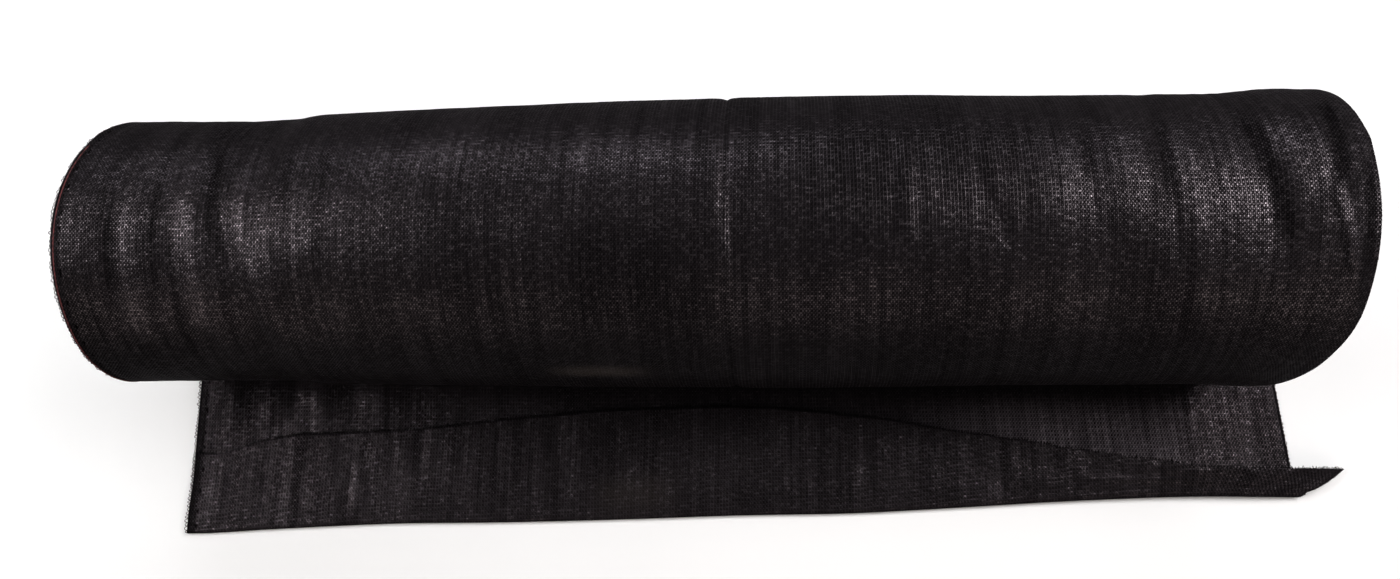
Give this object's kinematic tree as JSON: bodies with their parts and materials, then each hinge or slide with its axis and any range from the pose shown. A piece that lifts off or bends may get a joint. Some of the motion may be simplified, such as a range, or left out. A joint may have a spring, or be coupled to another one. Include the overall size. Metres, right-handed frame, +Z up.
{
  "type": "roll of shade netting",
  "caption": "Roll of black knitted shade netting lying on the floor, with its loose end drawn out from under it and folded back over itself.",
  "frame": {"origin": "on the floor, under the middle of the roll", "axes": "+X along the roll, -Y to the side where the loose end lies, +Z up"},
  "size_m": [1.6006, 0.5473, 0.3632],
  "materials": {
    "black_net": "black knitted plastic tape and thread, satin, open stitches"
  },
  "bodies": {
    "root": {"net_roll": "black_net", "loose_end": "black_net"}
  },
  "joints": []
}
